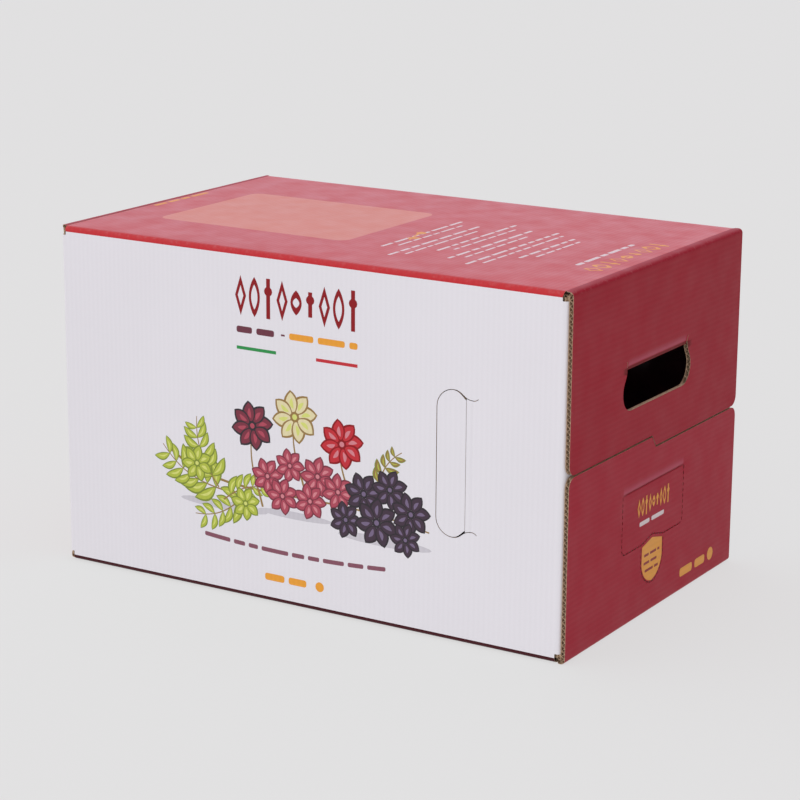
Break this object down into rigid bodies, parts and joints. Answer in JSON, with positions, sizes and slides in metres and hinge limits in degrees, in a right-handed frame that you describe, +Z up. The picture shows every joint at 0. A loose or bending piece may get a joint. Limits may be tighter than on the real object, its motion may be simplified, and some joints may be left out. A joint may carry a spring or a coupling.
{
  "type": "bag in box carton",
  "caption": "Closed corrugated wrap-around carton with die-cut grips and a tear-out tap panel, holding a filled bag with its gland and tap.",
  "frame": {"origin": "middle of the base, at the height of the surface it stands on", "axes": "+X towards the tap end, -Y towards the white front panel, +Z up"},
  "size_m": [0.4, 0.25, 0.24],
  "materials": {
    "printed_board": "dark red print under a satin varnish",
    "white_board": "white coated board under a satin varnish",
    "bag_film": "clear film over dark wine",
    "gland_plastic": "natural moulded",
    "tap_plastic": "black moulded",
    "key_plastic": "red moulded"
  },
  "bodies": {
    "box": {"carton": "printed_board", "filled_bag": "bag_film", "bag_gland": "gland_plastic", "tap_body": "tap_plastic"},
    "front_grip": {"front_grip_flap": "white_board"},
    "back_grip": {"back_grip_flap": "white_board"},
    "tap_end_grip": {"tap_end_grip_flap": "printed_board"},
    "far_end_grip": {"far_end_grip_flap": "printed_board"},
    "key": {"tap_key": "key_plastic"}
  },
  "joints": [
    {"name": "front_grip_fold", "type": "hinge", "parent": "box", "child": "front_grip", "pos_m": [0.1264, -0.125, 0.119], "axis": [0, 0, -1], "range_deg": [0, 85]},
    {"name": "back_grip_fold", "type": "hinge", "parent": "box", "child": "back_grip", "pos_m": [0.1264, 0.125, 0.119], "axis": [0, 0, 1], "range_deg": [0, 85]},
    {"name": "tap_end_grip_fold", "type": "hinge", "parent": "box", "child": "tap_end_grip", "pos_m": [0.19633, -0.003, 0.17423], "axis": [0, 1, 0], "range_deg": [-42, 43]},
    {"name": "far_end_grip_fold", "type": "hinge", "parent": "box", "child": "far_end_grip", "pos_m": [-0.19633, -0.003, 0.17423], "axis": [0, -1, 0], "range_deg": [-42, 43]},
    {"name": "tap_key_turn", "type": "hinge", "parent": "box", "child": "key", "pos_m": [0.1743, -0.003, 0.06], "axis": [0, 0, 1], "range_deg": [0, 90]}
  ]
}
